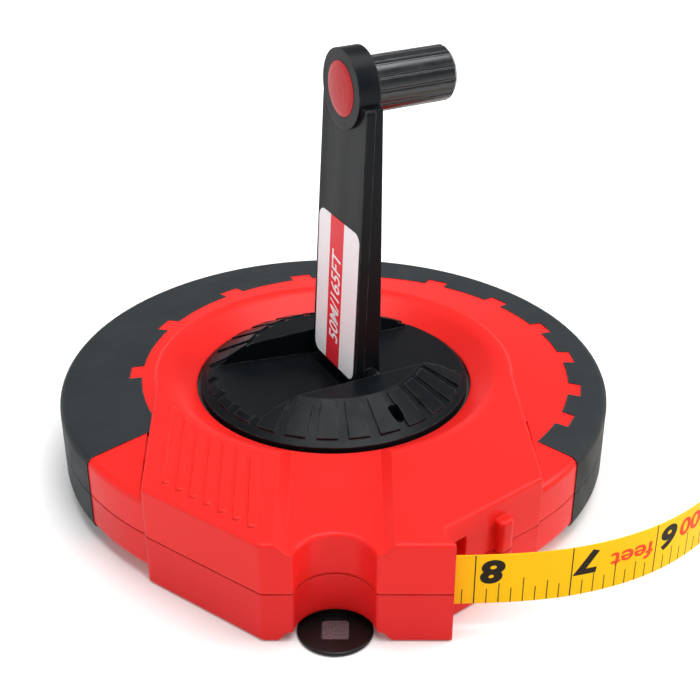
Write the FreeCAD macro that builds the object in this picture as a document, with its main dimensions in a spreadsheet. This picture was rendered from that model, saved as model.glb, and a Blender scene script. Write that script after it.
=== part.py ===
import FreeCAD, Part
import math
import os

import Sketcher
from FreeCAD import Placement, Rotation, Vector

# Closed-case surveyor's tape reel with a folding crank, in millimetres.
# Origin: on the reel's axis, in the plane the case rests on. +Z is up, the tape leaves towards +X at
# the front (-Y) side, and the knob notch is at the front.

SIZES = {
    # case
    "case_radius": 82.0,
    "case_height": 31.0,
    "wall": 2.6,
    "plateau_radius": 53.0,
    "plateau_step": 0.9,
    "ring_drop": 3.5,
    "rim_edge": 2.5,
    "grip_proud": 0.3,
    "grip_depth": 1.5,
    "cavity_radius": 77.5,
    "cavity_side": 6.4,
    "flange_room": 60.0,
    "opening_radius": 41.4,
    "opening_depth": 6.0,
    "notch_radius": 10.65,
    "notch_x": 1.1,
    "notch_y": -92.0,
    "trough_depth": 3.0,
    "trough_half": 12.2,
    "trough_bevel": 3.0,
    "tooth_centre": 6.5,
    "tooth_root": 64.0,
    "tooth_tip": 67.7,
    "tooth_width": 6.8,
    "grip_start": -34.3,
    "grip_sweep": 248.7,
    "screw_radius": 76.2,
    "boss_radius": 2.8,
    "screw_hole": 1.6,
    "screw_head": 2.7,
    # tape
    "tape_width": 15.7,
    "tape_thickness": 0.3,
    "coil_radius": 71.0,
    "hub_radius": 22.0,
    "post_radius": 2.0,
    "post_x": 23.5,
    "post_y": -81.55,
    # drum
    "flange_radius": 58.0,
    "flange_base": 23.6,
    "flange_thickness": 0.8,
    "spindle_radius": 5.0,
    "running_gap": 0.1,
    # crank plate
    "plate_radius": 40.3,
    "plate_rim": 27.0,
    "plate_top": 34.5,
    "plate_flat": 26.0,
    "plug_radius": 19.5,
    "plug_bottom": 19.5,
    "channel_half": 17.0,
    "tile_count": 26,
    "tile_turn": 32.45,
    "tile_height": 0.8,
    # crank
    "crank_azimuth": 27.0,
    "hinge_x": 5.6,
    "hinge_z": 32.0,
    "hinge_pin": 1.6,
    "foot_radius": 5.6,
    "arm_back": 9.2,
    "arm_width": 28.4,
    "arm_body_width": 24.6,
    "arm_flange": 2.9,
    "arm_end_width": 26.0,
    "crank_length": 83.9,
    "head_radius": 11.0,
    "cap_radius": 7.6,
    "knob_radius": 7.7,
    "knob_length": 26.1,
    "stud_radius": 2.0,
    # notch disc
    "disc_radius": 10.0,
    "disc_y": -86.0,
    "disc_thickness": 1.2,
    # end fitting, on a vertical pin past the end of the tape
    "end_x": 143.0,
    "end_y": 62.0,
    "end_pin_y": 69.5,
    "end_pin": 0.9,
}

doc = FreeCAD.newDocument("tape_reel")
sheet = doc.addObject("Spreadsheet::Sheet", "Sizes")
for row, (alias, number) in enumerate(SIZES.items(), start=1):
    sheet.set("A%d" % row, alias)
    sheet.set("B%d" % row, str(number))
    sheet.setAlias("B%d" % row, alias)
doc.recompute()


class Size:
    """A length that knows both its value and the expression that drives it."""

    def __init__(self, value, text):
        self.value = value
        self.text = text

    def _join(self, other, sign, value):
        text = other.text if isinstance(other, Size) else repr(other)
        return Size(value, "(%s %s %s)" % (self.text, sign, text))

    def __add__(self, other):
        return self._join(other, "+", self.value + number_of(other))

    def __sub__(self, other):
        return self._join(other, "-", self.value - number_of(other))

    def __mul__(self, other):
        return self._join(other, "*", self.value * number_of(other))

    def __truediv__(self, other):
        return self._join(other, "/", self.value / number_of(other))

    def __neg__(self):
        return Size(-self.value, "(0 - %s)" % self.text)


def number_of(quantity):
    return quantity.value if isinstance(quantity, Size) else quantity


def size(alias):
    return Size(SIZES[alias], "Sizes." + alias)


def bind(thing, name, quantity):
    """Set a property, and tie it to the sheet when it comes from there."""
    if isinstance(quantity, Size):
        thing.setExpression(name, quantity.text)
    else:
        setattr(thing, name, quantity)


PARTING = size("case_height") / 2
NODES = {}


def node(label, thing):
    """Name a finished sub-part."""
    thing.Label = label
    NODES[label] = thing
    return thing


# ---------------------------------------------------------------- sketches and bodies


def new_body(name, turned=False):
    """An empty body; a turned one stands in the crank's own directions (its X along the channel)."""
    body = doc.addObject("PartDesign::Body", name)
    if turned:
        body.Placement = Placement(Vector(0, 0, 0), Rotation(Vector(0, 0, 1), SIZES["crank_azimuth"]))
        body.setExpression("Placement.Rotation.Angle", "Sizes.crank_azimuth")
    return body


def origin_feature(body, role):
    return [part for part in body.Origin.OriginFeatures if part.Role == role][0]


def new_sketch(body, role, shift=(0, 0, 0)):
    sketch = body.newObject("Sketcher::SketchObject", body.Name + "_sketch")
    sketch.AttachmentSupport = (origin_feature(body, role), [""])
    sketch.MapMode = "FlatFace"
    sketch.AttachmentOffset = Placement(Vector(*[number_of(s) for s in shift]), Rotation())
    for axis, quantity in zip("xyz", shift):
        if isinstance(quantity, Size):
            sketch.setExpression("AttachmentOffset.Base." + axis, quantity.text)
    return sketch


def pin_point(sketch, geometry, point, x, y):
    for kind, quantity in (("DistanceX", x), ("DistanceY", y)):
        constraint = Sketcher.Constraint(kind, -1, 1, geometry, point, float(number_of(quantity)))
        index = sketch.addConstraint(constraint)
        if isinstance(quantity, Size):
            sketch.setExpression("Constraints[%d]" % index, quantity.text)


def outline(sketch, points):
    """A closed polygon whose corners are dimensioned from the sketch's origin."""
    corners = [Vector(number_of(x), number_of(y), 0) for x, y in points]
    first = sketch.GeometryCount
    count = len(points)
    for i in range(count):
        sketch.addGeometry(Part.LineSegment(corners[i], corners[(i + 1) % count]), False)
    for i in range(count):
        following = first + (i + 1) % count
        sketch.addConstraint(Sketcher.Constraint("Coincident", first + i, 2, following, 1))
    for i, (x, y) in enumerate(points):
        pin_point(sketch, first + i, 1, x, y)


def circle(sketch, x, y, radius):
    shape = Part.Circle(Vector(number_of(x), number_of(y), 0), Vector(0, 0, 1), number_of(radius))
    index = sketch.addGeometry(shape, False)
    pin_point(sketch, index, 3, x, y)
    rule = sketch.addConstraint(Sketcher.Constraint("Radius", index, float(number_of(radius))))
    if isinstance(radius, Size):
        sketch.setExpression("Constraints[%d]" % rule, radius.text)


def feature(body, kind, sketch):
    made = body.newObject("PartDesign::" + kind, body.Name + "_" + kind.lower())
    made.Profile = sketch
    sketch.Visibility = False
    return made


def pad(body, sketch, length, both_ways=False, kind="Pad", backwards=False):
    made = feature(body, kind, sketch)
    bind(made, "Length", length)
    if both_ways:
        made.SideType = "Symmetric"
    made.Reversed = backwards
    return made


def spin(body, sketch, axis="V_Axis", angle=360.0, kind="Revolution", both_ways=False):
    made = feature(body, kind, sketch)
    made.ReferenceAxis = (sketch, [axis])
    bind(made, "Angle", angle)
    made.Midplane = both_ways
    return made


def turned_body(name, points, turned=False):
    """A solid of revolution about the reel's axis, from (radius, height) corners."""
    body = new_body(name, turned)
    sketch = new_sketch(body, "XZ_Plane")
    outline(sketch, points)
    spin(body, sketch)
    return body


def prism(name, points, bottom, length, turned=False):
    """A plan outline raised from a height."""
    body = new_body(name, turned)
    sketch = new_sketch(body, "XY_Plane", (0, 0, bottom))
    outline(sketch, points)
    pad(body, sketch, length)
    return body


def posts(name, places, radius, bottom, length, turned=False):
    """Upright round pegs of one size at several places, as one object."""
    made = []
    for index, (x, y) in enumerate(places):
        peg = doc.addObject("Part::Cylinder", "%s_%d" % (name, index))
        bind(peg, "Radius", radius)
        bind(peg, "Height", length)
        spot = Vector(x, y, number_of(bottom))
        if turned:
            spot = Rotation(Vector(0, 0, 1), SIZES["crank_azimuth"]).multVec(spot)
        peg.Placement.Base = spot
        made.append(peg)
    return made


def cross_slots(name, places, across, bottom, height):
    """Driver recesses: two crossed flat slots at each place."""
    made = []
    for index, (x, y) in enumerate(places):
        for way, (long_x, long_y) in enumerate(((across, 0.8), (0.8, across))):
            low = (x - long_x / 2, y - long_y / 2, bottom)
            high = (x + long_x / 2, y + long_y / 2, bottom + height)
            made.append(block_at("%s_%d_%d" % (name, index, way), low, high))
    return made


def boolean(kind, name, shapes):
    made = doc.addObject(kind, name)
    made.Shapes = shapes
    return made


def fuse(name, *shapes):
    return boolean("Part::MultiFuse", name, list(shapes))


def common(name, *shapes):
    return boolean("Part::MultiCommon", name, list(shapes))


def cut(name, base, *tools):
    made = doc.addObject("Part::Cut", name)
    made.Base = base
    made.Tool = tools[0] if len(tools) == 1 else fuse(name + "_tools", *tools)
    return made


def mirrored(name, source):
    """The same solid turned over about the parting plane."""
    made = doc.addObject("Part::Mirroring", name)
    made.Source = source
    made.Normal = Vector(0, 0, 1)
    made.Base = Vector(0, 0, PARTING.value)
    made.setExpression("Base.z", PARTING.text)
    return made


def polar(radius, degrees):
    angle = math.radians(degrees)
    return radius * math.cos(angle), radius * math.sin(angle)


# ---------------------------------------------------------------- case


def disc_profile(inset, top_inset=0.0):
    """Half of the round case: wall, rim edge rounded in five short runs, sloping ring and flat middle."""
    radius = size("case_radius") - inset
    top = size("case_height") - top_inset
    rim = size("case_height") - size("ring_drop") - inset
    edge = size("rim_edge")
    points = [(0, PARTING), (radius, PARTING)]
    for step in range(6):
        angle = math.radians(16.6 * step)
        points.append((radius - edge * (1 - math.cos(angle)), rim - edge * (1 - math.sin(angle))))
    foot = size("plateau_radius") + 0.9
    return points + [(foot, top - size("plateau_step")), (size("plateau_radius"), top), (0, top)]


# Plan of the block in front of the round case, from the left round the front to the right.
BLOCK_PLAN = [
    (-52.9, 0.0),
    (-49.9, -65.6),
    (-17.6, -90.0),
    (31.2, -90.0),
    (31.2, -88.6),
    (28.0, -83.6),
    (56.15, -60.2),
    (52.9, 3.0),
]
SCREW_ANGLES = (-15.0, 40.0, 90.0, 140.0, 195.0, 237.0, 303.0)
TOOTH_ANGLES = (-24.3, -9.1, 8.0, 25.1, 44.5, 65.0, 85.6, 106.2, 128.9, 155.2, 182.2)
SCREW_PLACES = [polar(SIZES["screw_radius"], angle) for angle in SCREW_ANGLES]
REST_SCREW = (1.1, -70.0)


def rounded(name, body_feature, radius, chosen):
    """Round the chosen edges of a body's last feature."""
    doc.recompute()
    names = []
    for index, edge in enumerate(body_feature.Shape.Edges, start=1):
        if chosen(edge.BoundBox):
            names.append("Edge%d" % index)
    body = body_feature.getParentGeoFeatureGroup()
    made = body.newObject("PartDesign::Fillet", name)
    made.Base = (body_feature, names)
    bind(made, "Radius", radius)
    return made


def front_block():
    """The raised middle of the upper half and the block in front of it."""
    body = new_body("block")
    sketch = new_sketch(body, "XY_Plane", (0, 0, PARTING))
    outline(sketch, BLOCK_PLAN)
    last = pad(body, sketch, PARTING)
    top = SIZES["case_height"]
    corner = lambda box: box.ZLength > 5 and box.YMax < -59 and box.XMin < 30
    last = rounded("block_corners", last, 2.0, corner)
    rounded("block_edges", last, 1.0, lambda box: box.ZMin > top - 0.01 and box.YMin < -1)
    return body


def beside(along, out):
    """Plan position given by distances along the slanting face next to the mouth, and out of it."""
    start = Vector(*BLOCK_PLAN[5], 0)
    direction = (Vector(*BLOCK_PLAN[6], 0) - start).normalize()
    outward = Vector(direction.y, -direction.x, 0)
    spot = start + direction * along + outward * out
    return spot.x, spot.y


def mouth_fin():
    """The rounded upright rib on the face beside the mouth."""
    corners = [beside(s, t) for s, t in ((18.9, -1.5), (18.9, 2.8), (23.9, 2.8), (23.9, -1.5))]
    body = prism("mouth_fin", corners, PARTING, 9.7)
    outside = [beside(s, 2.8) for s in (18.9, 23.9)]
    at_front = lambda box: min(math.hypot(box.XMin - x, box.YMin - y) for x, y in outside) < 0.01
    last = rounded("fin_sides", body.Tip, 1.4, lambda box: box.ZLength > 5 and at_front(box))
    rounded("fin_top", last, 1.0, lambda box: box.ZMin > 25.0 and box.YMax < beside(18.9, -1.4)[1])
    return body


def mouth_pocket():
    """The upright recess in the same face, next to the tape."""
    corners = [beside(s, t) for s, t in ((3.4, -3.0), (3.4, 2.0), (8.6, 2.0), (8.6, -3.0))]
    return prism("mouth_pocket", corners, 6.0, 19.0)


def side_grooves():
    """Fine grooves where the sloping ring meets the block's two long sides."""
    made = []
    sides = (
        (BLOCK_PLAN[0], BLOCK_PLAN[1], ((31.5, 48.0, 27.9), (47.9, 66.0, 26.9))),
        (BLOCK_PLAN[6], BLOCK_PLAN[7], ((-1.0, 14.1, 26.9), (14.0, 31.0, 27.9))),
    )
    for start, end, runs in sides:
        run = (Vector(*end, 0) - Vector(*start, 0)).normalize()
        out = Vector(run.y, -run.x, 0)
        for near, far, bottom in runs:
            corners = []
            for along, aside in ((near, -0.05), (far, -0.05), (far, 0.75), (near, 0.75)):
                spot = Vector(*start, 0) + run * along + out * aside
                corners.append((spot.x, spot.y))
            made.append(prism("side_groove_%d" % len(made), corners, bottom, 6.0))
    return made


def thumb_ribs():
    """Seven low bars on the left of the plateau, cut to the slant of the front face, on top only."""
    bars = []
    for index in range(7):
        x = -43.4 + 3.95 * index
        front = -63.6 - 3.2 * index
        back = -25.0 - 4.2 * index
        middle = size("case_height")
        corners = [(x - 1.2, front), (x + 1.2, front), (x, back), (x - 2.4, back)]
        body = prism("rib_%d" % index, corners, middle - 0.8, 1.45)
        top = SIZES["case_height"] + 0.5
        last = rounded("rib_ends_%d" % index, body.Tip, 1.0, lambda box: box.ZLength > 1)
        rounded("rib_top_%d" % index, last, 0.5, lambda box: box.ZMin > top)
        bars.append(body)
    return bars


def inward(points, distance):
    """The same polygon with every side moved in by a distance."""
    lines = []
    count = len(points)
    for i in range(count):
        a = Vector(*points[i], 0)
        b = Vector(*points[(i + 1) % count], 0)
        run = (b - a).normalize()
        lines.append((a + Vector(-run.y, run.x, 0) * distance, run))
    moved = []
    for i in range(count):
        point, run = lines[i - 1]
        other, other_run = lines[i]
        reach = (other - point).cross(other_run).z / run.cross(other_run).z
        spot = point + run * reach
        moved.append((spot.x, spot.y))
    return moved


def seam():
    """A fine groove all round the parting line."""
    depth = 0.35
    low = 15.3
    high = 0.4
    ring = posts("seam_ring", [(0, 0)], 120.0, low, high)
    inside = posts("seam_inside", [(0, 0)], size("case_radius") - depth - 0.3, low - 1, high + 2)
    block = prism("seam_block", inward(BLOCK_PLAN, depth), low - 1, high + 2)
    place = (SIZES["notch_x"], SIZES["notch_y"])
    well = posts("seam_notch", [place], size("notch_radius") + depth, low - 2, high + 4)
    keep = cut("seam_keep", fuse("seam_middle", inside[0], block), well[0])
    return cut("seam_groove", ring[0], keep)


def trough():
    """The shallow channel that the folded arm lies in, open at the notch, with sloping sides."""
    body = new_body("trough")
    sketch = new_sketch(body, "XZ_Plane", (0, 0, 40.0))
    half = size("trough_half")
    bevel = size("trough_bevel")
    middle = size("notch_x")
    low = size("case_height") - size("trough_depth")
    high = size("case_height") + 2
    outline(
        sketch,
        [
            (middle - half, low),
            (middle + half, low),
            (middle + half + bevel, size("case_height")),
            (middle + half + bevel, high),
            (middle - half - bevel, high),
            (middle - half - bevel, size("case_height")),
        ],
    )
    pad(body, sketch, 64.0)
    return body


def notch():
    """The half-round well at the front that the knob folds into."""
    body = new_body("notch")
    sketch = new_sketch(body, "XY_Plane", (0, 0, -1.0))
    circle(sketch, size("notch_x"), size("notch_y"), size("notch_radius"))
    pad(body, sketch, size("case_height") + 2)
    return body


def soft_notch(carved):
    """Round the notch's upper rim and its two front corners."""
    doc.recompute()
    floor = SIZES["case_height"] - SIZES["trough_depth"]
    reach = SIZES["notch_radius"] + 0.01
    chosen = []
    for index, edge in enumerate(carved.Shape.Edges, start=1):
        box = edge.BoundBox
        near = max(abs(box.XMin - SIZES["notch_x"]), abs(box.XMax - SIZES["notch_x"])) < reach
        rim = box.ZLength < 0.01 and abs(box.ZMin - floor) < 0.01 and box.YLength > 5 and box.YMax > -82
        corner = box.ZLength > 8 and box.XLength < 0.01 and abs(box.YMin + 90) < 0.01
        if near and rim:
            chosen.append((index, 1.2, 1.2))
        if near and corner:
            chosen.append((index, 0.9, 0.9))
    made = doc.addObject("Part::Fillet", "soft_notch")
    made.Base = carved
    made.Edges = chosen
    return made


def toothed_plug():
    """The round middle that the rubber grip leaves free, with the case colour's blunt teeth."""
    body = new_body("toothed_plug")
    sketch = new_sketch(body, "XY_Plane", (0, 0, PARTING))
    circle(sketch, size("tooth_centre"), 0, size("tooth_root"))
    pad(body, sketch, 30.0)
    teeth = []
    for index, angle in enumerate(TOOTH_ANGLES):
        tooth = doc.addObject("Part::Box", "tooth_%d" % index)
        bind(tooth, "Length", size("tooth_tip"))
        bind(tooth, "Width", size("tooth_width"))
        tooth.Height = 30.0
        aside = Rotation(Vector(0, 0, 1), angle).multVec(Vector(0, -SIZES["tooth_width"] / 2, 0))
        spot = Vector(SIZES["tooth_centre"], 0, PARTING.value) + aside
        tooth.Placement = Placement(spot, Rotation(Vector(0, 0, 1), angle))
        teeth.append(tooth)
    return fuse("toothed_middle", body, *teeth)


def grip_sector():
    """The part of the rim, round the back, that carries the grip."""
    body = new_body("grip_sector")
    sketch = new_sketch(body, "XZ_Plane")
    outline(sketch, [(20.0, PARTING), (100.0, PARTING), (100.0, 40.0), (20.0, 40.0)])
    spin(body, sketch, angle=size("grip_sweep"))
    body.Placement = Placement(Vector(0, 0, 0), Rotation(Vector(0, 0, 1), SIZES["grip_start"]))
    body.setExpression("Placement.Rotation.Angle", "Sizes.grip_start")
    return body


def cavity_profile():
    """Half of the drum's room: deep in the middle, shallower under the rim grip."""
    top = size("case_height")
    return [
        (0, PARTING),
        (size("cavity_radius"), PARTING),
        (size("cavity_radius"), top - size("cavity_side")),
        (size("flange_room"), top - size("cavity_side")),
        (size("flange_room"), top - size("wall")),
        (0, top - size("wall")),
    ]


def tape_passage():
    """The way from the drum's room past the guide post to the mouth."""
    return prism(
        "passage",
        [
            (-8.0, -70.0),
            (-2.0, -77.2),
            (22.3, -85.6),
            (40.0, -85.6),
            (40.0, -82.6),
            (26.2, -82.6),
            (26.2, -78.8),
            (20.0, -78.0),
            (14.0, -70.0),
        ],
        6.9,
        17.2,
    )


def grip_room(block):
    """The space outside the rim's seat, between the teeth and the sector's ends."""
    seat = turned_body("grip_seat", disc_profile(size("grip_depth"), size("grip_depth")))
    return cut("grip_room", grip_sector(), seat, toothed_plug(), block)


def case():
    """Both halves of the case and both halves of the grip."""
    disc = turned_body("disc", disc_profile(size("grip_proud"), 0.03))
    block = front_block()
    room = grip_room(block)
    grip_upper = common("grip_above", turned_body("grip_outside", disc_profile(0.0)), room)
    grip_lower_blank = mirrored("grip_mirrored", grip_upper)

    opening = turned_body(
        "opening",
        [
            (0, 20.0),
            (size("opening_radius"), 20.0),
            (size("opening_radius"), size("case_height") - size("opening_depth") + 0.9),
            (size("opening_radius") + 6.0, size("case_height") - 1.4),
            (size("opening_radius") + 7.0, size("case_height") - 0.88),
            (size("opening_radius") + 8.0, size("case_height") - 0.48),
            (size("opening_radius") + 9.0, size("case_height") - 0.2),
            (size("opening_radius") + 10.6, size("case_height") + 0.04),
            (size("opening_radius") + 10.6, 33.0),
            (0, 33.0),
        ],
    )
    collar = turned_body(
        "collar",
        [
            (40.0, size("case_height") - size("opening_depth")),
            (44.5, size("case_height") - size("opening_depth")),
            (50.0, size("case_height") - size("wall")),
            (50.0, 30.0),
            (40.0, 30.0),
        ],
    )
    blank = fuse("outer_blank", fuse("outer_body", disc, block), mouth_fin())
    seated = cut("outer_seated", blank, room)
    arm_trough = trough()
    carved = cut("outer_carved", seated, arm_trough, notch(), mouth_pocket(), *side_grooves())
    groove = seam()
    under_trough = doc.addObject("Part::Box", "under_trough")
    under_trough.Length = 34.0
    under_trough.Width = 46.0
    bind(under_trough, "Height", size("trough_depth") + size("wall"))
    under_trough.Placement.Base = Vector(-16.0, -86.0, 0)
    floor_under = size("case_height") - size("trough_depth") - 1.6
    under_trough.setExpression("Placement.Base.z", floor_under.text)
    cavity = cut("cavity", turned_body("cavity_turned", cavity_profile()), under_trough)
    hollow = cut("hollow_upper", soft_notch(carved), cavity)
    depth = SIZES["case_height"] - SIZES["wall"] / 2
    upper_bosses = posts(
        "boss", SCREW_PLACES, size("boss_radius"), PARTING, depth - PARTING.value - 4.0
    )
    open_collar = cut("collar_open", collar, arm_trough)
    with_posts = fuse("upper_with_posts", hollow, open_collar, *upper_bosses, *thumb_ribs())
    pilot = posts("pilot", SCREW_PLACES, 1.2, PARTING.value - 1.0, 10.0)
    passage = tape_passage()
    post_seat = posts(
        "post_seat", [(SIZES["post_x"], SIZES["post_y"])], size("post_radius") + 0.05, 3.9, 23.2
    )
    node("upper_shell", cut("upper", with_posts, opening, passage, groove, *pilot, *post_seat))
    node("rim_grip_upper", cut("grip_top", grip_upper, groove))

    lower_hollow = mirrored("lower_hollow", hollow)
    lower_bosses = posts("lower_boss", SCREW_PLACES, size("boss_radius"), 5.0, PARTING - 5.0)
    seat = posts("spindle_seat", [(0, 0)], 12.0, 1.5, 2.1)
    wells = posts("well", SCREW_PLACES, size("screw_head") + 0.2, -1.0, 6.0)
    holes = posts("screw_hole", SCREW_PLACES, size("screw_hole"), 0.0, 20.0)
    lower = fuse("lower_with_posts", lower_hollow, *lower_bosses, *seat)
    rest_hole = posts("rest_hole", [REST_SCREW], 1.55, 1.0, 5.4)
    tools = (passage, groove, *wells, *holes, *post_seat, *rest_hole)
    node("lower_shell", cut("lower", lower, *tools))
    node("rim_grip_lower", cut("grip_below", grip_lower_blank, groove, *wells))


def case_screws():
    heads = posts("case_screw_head", SCREW_PLACES, size("screw_head"), 3.6, 1.4)
    shanks = posts("case_screw_shank", SCREW_PLACES, 1.15, 5.0, 17.0)
    crosses = cross_slots("case_cross", SCREW_PLACES, 3.2, 2.9, 1.4)
    node("case_screws", cut("case_screw_cut", fuse("case_screw_group", *heads, *shanks), *crosses))


def guide_post():
    made = posts("post", [(SIZES["post_x"], SIZES["post_y"])], size("post_radius"), 4.0, 23.0)
    node("mouth_guide_post", made[0])


def knob_rest():
    """The slotted disc under the notch, with a tongue that is screwed under the case."""
    body = new_body("knob_rest_body")
    sketch = new_sketch(body, "XY_Plane", (0, 0, 0))
    circle(sketch, size("notch_x"), size("disc_y"), size("disc_radius"))
    last = pad(body, sketch, size("disc_thickness"))
    rounded("knob_rest_edge", last, 0.55, lambda box: box.ZLength < 0.01)
    tongue = prism(
        "knob_rest_tongue",
        [(-5.4, -80.5), (7.6, -80.5), (7.6, -64.0), (-5.4, -64.0)],
        0.5,
        2.5,
    )
    corners = [(-2.6, -90.4), (4.8, -90.4), (4.8, -82.4), (-2.6, -82.4)]
    slot = prism("knob_rest_slot", corners, 0.5, 5.0)
    hole = posts("knob_rest_hole", [REST_SCREW], 1.7, 0.0, 4.0)
    sink = posts("knob_rest_sink", [REST_SCREW], 3.0, -1.0, 2.6)
    whole = fuse("knob_rest_blank", body, tongue)
    node("knob_rest", cut("knob_rest_cut", whole, slot, *hole, *sink))
    head = posts("rest_screw_head", [REST_SCREW], 2.8, 0.6, 1.0)
    shank = posts("rest_screw_shank", [REST_SCREW], 1.5, 1.6, 4.6)
    crosses = cross_slots("rest_cross", [REST_SCREW], 3.2, -0.1, 1.4)
    node("knob_rest_screw", cut("rest_screw_cut", fuse("rest_screw", *head, *shank), *crosses))


# ---------------------------------------------------------------- drum and tape coil


def drum():
    """Spindle on the lower shell, and the drum that turns on it with the wound tape."""
    bore = size("spindle_radius") + size("running_gap")
    node(
        "hub_spindle",
        turned_body(
            "hub_spindle_body",
            [
                (0, 3.6),
                (8.5, 3.6),
                (8.5, 4.8),
                (size("spindle_radius"), 4.8),
                (size("spindle_radius"), 17.0),
                (0, 17.0),
            ],
        ),
    )
    drag = [(bore, 4.85), (8.5, 4.85), (8.5, 5.2), (bore, 5.2)]
    node("drag_washer", turned_body("drag_washer_body", drag))
    node(
        "drum_core",
        turned_body(
            "drum_core_body",
            [
                (bore, 5.3),
                (size("flange_radius"), 5.3),
                (size("flange_radius"), 6.5),
                (size("hub_radius"), 6.5),
                (size("hub_radius"), size("flange_base")),
                (19.6, size("flange_base")),
                (19.6, 8.0),
                (9.0, 8.0),
                (9.0, 16.5),
                (bore, 16.5),
            ],
        ),
    )
    base = size("flange_base")
    node(
        "drum_flange",
        turned_body(
            "drum_flange_body",
            [
                (19.6, base),
                (size("flange_radius"), base),
                (size("flange_radius"), base + size("flange_thickness")),
                (19.6, base + size("flange_thickness")),
            ],
        ),
    )
    low = PARTING - size("tape_width") / 2
    high = PARTING + size("tape_width") / 2
    inner = size("hub_radius") + 0.05
    node(
        "tape_coil",
        turned_body(
            "tape_coil_body",
            [(inner, low), (size("coil_radius"), low), (size("coil_radius"), high), (inner, high)],
        ),
    )
    washer = [(1.6, 17.0), (8.0, 17.0), (8.0, 17.8), (1.6, 17.8)]
    node("spindle_washer", turned_body("spindle_washer_body", washer))
    screw = [(0, 17.8), (3.2, 17.8), (3.2, 18.9), (0, 18.9)]
    node("spindle_screw", turned_body("spindle_screw_body", screw))


# ---------------------------------------------------------------- crank plate


def cone_height(radius):
    """Height of the plate's conical band at a radius."""
    fall = (size("plate_top") - size("plate_rim")) / (size("plate_radius") - size("plate_flat"))
    return size("plate_top") - fall * (radius - SIZES["plate_flat"])


def crank_plate():
    """The round plate over the drum: low cone with raised tiles, cut by the arm's channel."""
    body = turned_body(
        "plate",
        [
            (0, size("plug_bottom")),
            (size("plug_radius"), size("plug_bottom")),
            (size("plug_radius"), size("flange_base") + size("flange_thickness")),
            (size("plate_radius"), size("flange_base") + size("flange_thickness")),
            (size("plate_radius"), size("plate_rim")),
            (size("plate_flat"), size("plate_top")),
            (0, size("plate_top")),
        ],
        turned=True,
    )
    inner = 27.2
    outer = 38.2
    lift = size("tile_height")
    tiles = turned_body(
        "tiles",
        [
            (inner, cone_height(inner) - 1.0),
            (outer, cone_height(outer) - 1.0),
            (outer, cone_height(outer) - 0.3),
            (inner, cone_height(inner) - 0.3),
        ],
    )
    tiles.Placement = Placement(Vector(0, 0, 0), Rotation(Vector(0, 0, 1), SIZES["tile_turn"]))
    tiles.setExpression("Placement.Rotation.Angle", "Sizes.tile_turn")
    sketch = new_sketch(tiles, "XZ_Plane")
    outline(
        sketch,
        [
            (inner, cone_height(inner) - 0.6),
            (outer, cone_height(outer) - 0.6),
            (outer, cone_height(outer) + lift),
            (inner, cone_height(inner) + lift),
        ],
    )
    tile = spin(tiles, sketch, angle=9.2, both_ways=True)
    doc.recompute()
    pattern = tiles.newObject("PartDesign::PolarPattern", "tile_pattern")
    pattern.Originals = [tile]
    pattern.Axis = (origin_feature(tiles, "Z_Axis"), [""])
    pattern.Angle = 360.0
    bind(pattern, "Occurrences", size("tile_count"))
    tiles.Tip = pattern
    doc.recompute()
    channel = new_body("channel", turned=True)
    sketch = new_sketch(channel, "XZ_Plane")
    outline(
        sketch,
        [
            (-46.0, 31.1),
            (-0.6, 26.5),
            (-0.6, 25.9),
            (11.8, 25.9),
            (11.8, 27.9),
            (46.0, 27.25),
            (46.0, 42.0),
            (-46.0, 42.0),
        ],
    )
    pad(channel, sketch, size("channel_half") * 2, both_ways=True)
    pin_hole = cross_pin("pin_hole", size("hinge_pin") + 0.05, 44.6)
    screw_places = [polar(33.2, -84.4), polar(33.2, 95.6)]
    slot_steps = [polar(reach, angle) for reach in (32.2, 33.2, 34.2) for angle in (-84.4, 95.6)]
    sinks = posts("plate_sink", slot_steps, 1.75, 26.6, 9.0, turned=True)
    holes = posts("plate_hole", screw_places, 1.05, 23.0, 8.0, turned=True)
    whole = fuse("plate_whole", body, tiles)
    node("crank_plate", cut("plate_cut", whole, channel, pin_hole, *sinks, *holes))
    flange = NODES.pop("drum_flange")
    node("drum_flange", cut("flange_cut", flange, *holes))
    heads = posts("plate_screw_head", screw_places, 1.65, 26.6, 1.0, turned=True)
    shanks = posts("plate_screw_shank", screw_places, 1.0, 23.7, 2.9, turned=True)
    node("crank_plate_screws", fuse("plate_screws", *heads, *shanks))


def cross_pin(name, radius, length):
    """A round bar along the hinge's axis."""
    body = new_body(name, turned=True)
    sketch = new_sketch(body, "XZ_Plane")
    circle(sketch, size("hinge_x"), size("hinge_z"), radius)
    pad(body, sketch, length, both_ways=True)
    return body


def ring_pair(name, outer, near, far):
    """Two equal rings on the hinge's axis, one each side of the arm."""
    rings = []
    for index, middle in enumerate((-(near + far) / 2, (near + far) / 2)):
        body = new_body("%s_%d" % (name, index), turned=True)
        sketch = new_sketch(body, "XZ_Plane", (0, 0, middle))
        circle(sketch, size("hinge_x"), size("hinge_z"), outer)
        circle(sketch, size("hinge_x"), size("hinge_z"), size("hinge_pin") + 0.05)
        pad(body, sketch, far - near, both_ways=True)
        rings.append(body)
    return fuse(name, *rings)


def hinge():
    node("hinge_pin", cross_pin("hinge_pin_body", size("hinge_pin"), 44.0))
    node("hinge_bushes", ring_pair("bushes", 2.6, 12.8, 16.95))
    node("hinge_friction_washers", ring_pair("friction_washers", 2.5, 12.4, 12.75))


# ---------------------------------------------------------------- crank arm and knob

KNOB_AXIS = size("hinge_z") + size("crank_length")
LABEL_SIDE_SLOPE = 0.048


def face_x(height, inward=0.0):
    """Distance of the arm's outer face from the reel's axis at a height."""
    return (height - SIZES["hinge_z"]) * LABEL_SIDE_SLOPE + inward


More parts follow.
